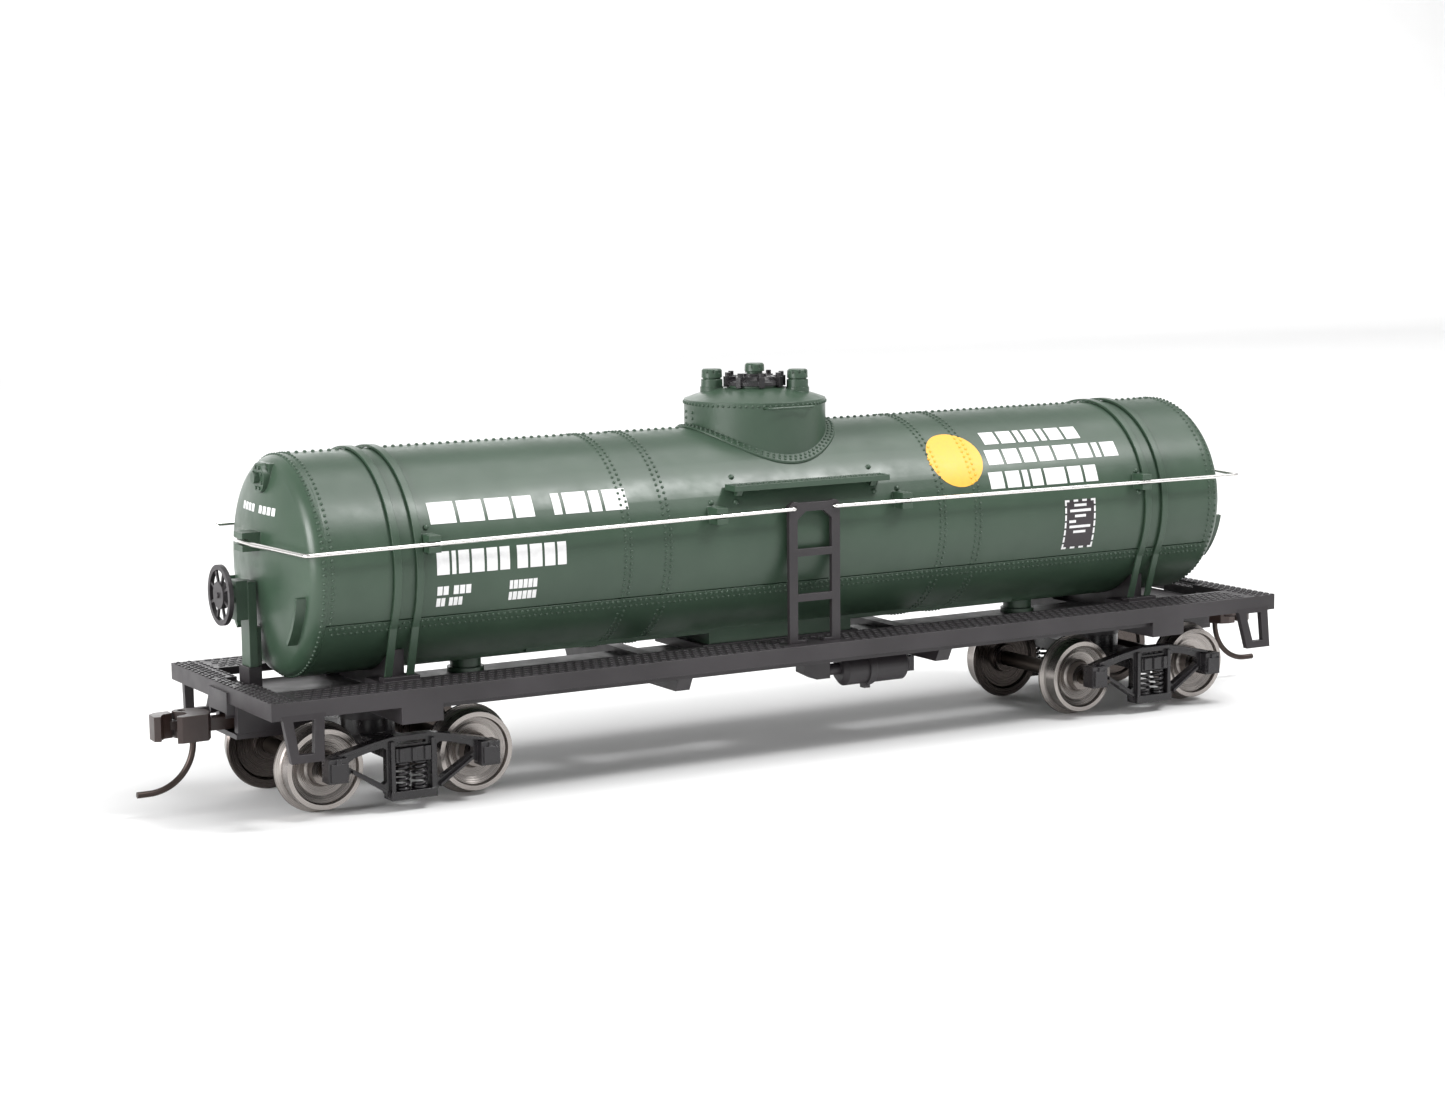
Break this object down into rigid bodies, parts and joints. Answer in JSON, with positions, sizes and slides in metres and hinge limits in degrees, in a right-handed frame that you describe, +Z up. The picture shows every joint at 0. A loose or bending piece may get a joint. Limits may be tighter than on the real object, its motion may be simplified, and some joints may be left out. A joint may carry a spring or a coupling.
{
  "type": "model tank wagon",
  "caption": "HO-scale model tank wagon: riveted cylindrical tank with a dome on a flat underframe, four-wheel trucks, knuckle couplers, handrail, ladders and a brake wheel.",
  "frame": {"origin": "middle of the wagon at the height of the wheel flanges' lowest points", "axes": "+X along the wagon away from the brake wheel end, +Y across the wagon, +Z up"},
  "size_m": [0.1666, 0.0346, 0.0488],
  "materials": {
    "tank_green": "semi-gloss dark green moulded plastic",
    "band_green": "dark green strap",
    "hatch_black": "satin black moulded plastic",
    "wire_steel": "bright drawn wire",
    "frame_black": "satin black moulded plastic",
    "brake_wheel_black": "satin black moulded plastic",
    "weight_steel": "plain steel bar",
    "screw_steel": "blackened steel",
    "coupler_metal": "brown-black oxide",
    "pin_metal": "brown-black steel pin",
    "spring_bronze": "phosphor bronze leaf",
    "truck_black": "glossy black moulded plastic",
    "spring_black": "blackened coil spring",
    "axle_metal": "dark steel",
    "wheel_metal": "turned nickel silver"
  },
  "bodies": {
    "wagon": {"tank_shell": "tank_green", "tank_bottom_sheet": "tank_green", "tank_head_a": "tank_green", "tank_head_b": "tank_green", "dome": "tank_green", "dome_platform_near": "tank_green", "dome_platform_far": "tank_green", "hatch_knob": "tank_green", "safety_valve_a": "tank_green", "safety_valve_b": "tank_green", "brake_stand": "tank_green", "dome_grab_rails": "tank_green", "tank_band_a_outer": "band_green", "tank_band_a_inner": "band_green", "tank_band_b_outer": "band_green", "tank_band_b_inner": "band_green", "hatch_cover": "hatch_black", "handrail_a": "wire_steel", "handrail_b": "wire_steel", "underframe": "frame_black", "ladder_near": "frame_black", "ladder_far": "frame_black", "brake_reservoir": "frame_black", "coupler_lid_a": "frame_black", "coupler_lid_b": "frame_black", "steel_weight": "weight_steel", "tank_screws": "screw_steel", "truck_screws": "screw_steel", "coupler_lid_screws": "screw_steel", "coupler_spring_a": "spring_bronze", "coupler_spring_b": "spring_bronze"},
    "truck_a": {"truck_a_side_frame_near": "truck_black", "truck_a_side_frame_far": "truck_black", "truck_a_bolster": "truck_black", "truck_a_springs": "spring_black"},
    "wheelset_a_outer": {"axle_a_outer": "axle_metal", "wheel_a_outer_near": "wheel_metal", "wheel_a_outer_far": "wheel_metal"},
    "wheelset_a_inner": {"axle_a_inner": "axle_metal", "wheel_a_inner_near": "wheel_metal", "wheel_a_inner_far": "wheel_metal"},
    "coupler_a": {"coupler_a": "coupler_metal", "trip_pin_a": "pin_metal"},
    "knuckle_a": {"knuckle_a": "coupler_metal"},
    "truck_b": {"truck_b_side_frame_near": "truck_black", "truck_b_side_frame_far": "truck_black", "truck_b_bolster": "truck_black", "truck_b_springs": "spring_black"},
    "wheelset_b_outer": {"axle_b_outer": "axle_metal", "wheel_b_outer_near": "wheel_metal", "wheel_b_outer_far": "wheel_metal"},
    "wheelset_b_inner": {"axle_b_inner": "axle_metal", "wheel_b_inner_near": "wheel_metal", "wheel_b_inner_far": "wheel_metal"},
    "coupler_b": {"coupler_b": "coupler_metal", "trip_pin_b": "pin_metal"},
    "knuckle_b": {"knuckle_b": "coupler_metal"},
    "brake_wheel": {"brake_wheel": "brake_wheel_black"}
  },
  "joints": [
    {"name": "truck_a_swivel", "type": "hinge", "parent": "wagon", "child": "truck_a", "pos_m": [-0.0544, 0, 0.0092], "axis": [0, 0, 1], "range_deg": [-12, 12]},
    {"name": "wheelset_a_outer_roll", "type": "hinge", "parent": "truck_a", "child": "wheelset_a_outer", "pos_m": [-0.064, 0, 0.0054], "axis": [0, 1, 0], "continuous": true},
    {"name": "wheelset_a_inner_roll", "type": "hinge", "parent": "truck_a", "child": "wheelset_a_inner", "pos_m": [-0.0448, 0, 0.0054], "axis": [0, 1, 0], "continuous": true},
    {"name": "coupler_a_swing", "type": "hinge", "parent": "wagon", "child": "coupler_a", "pos_m": [-0.0667, 0, 0.0103], "axis": [0, 0, 1], "range_deg": [-10, 10], "stiffness_Nm_per_rad": 0.0003},
    {"name": "knuckle_a_open", "type": "hinge", "parent": "coupler_a", "child": "knuckle_a", "pos_m": [-0.0769, 0.0016, 0.0103], "axis": [0, 0, -1], "range_deg": [0, 25], "stiffness_Nm_per_rad": 0.0001},
    {"name": "truck_b_swivel", "type": "hinge", "parent": "wagon", "child": "truck_b", "pos_m": [0.0544, 0, 0.0092], "axis": [0, 0, 1], "range_deg": [-12, 12]},
    {"name": "wheelset_b_outer_roll", "type": "hinge", "parent": "truck_b", "child": "wheelset_b_outer", "pos_m": [0.064, 0, 0.0054], "axis": [0, 1, 0], "continuous": true},
    {"name": "wheelset_b_inner_roll", "type": "hinge", "parent": "truck_b", "child": "wheelset_b_inner", "pos_m": [0.0448, 0, 0.0054], "axis": [0, 1, 0], "continuous": true},
    {"name": "coupler_b_swing", "type": "hinge", "parent": "wagon", "child": "coupler_b", "pos_m": [0.0667, 0, 0.0103], "axis": [0, 0, 1], "range_deg": [-10, 10], "stiffness_Nm_per_rad": 0.0003},
    {"name": "knuckle_b_open", "type": "hinge", "parent": "coupler_b", "child": "knuckle_b", "pos_m": [0.0769, -0.0016, 0.0103], "axis": [0, 0, -1], "range_deg": [0, 25], "stiffness_Nm_per_rad": 0.0001},
    {"name": "brake_wheel_spin", "type": "hinge", "parent": "wagon", "child": "brake_wheel", "pos_m": [-0.072, 0.001, 0.025], "axis": [1, 0, 0], "continuous": true}
  ]
}
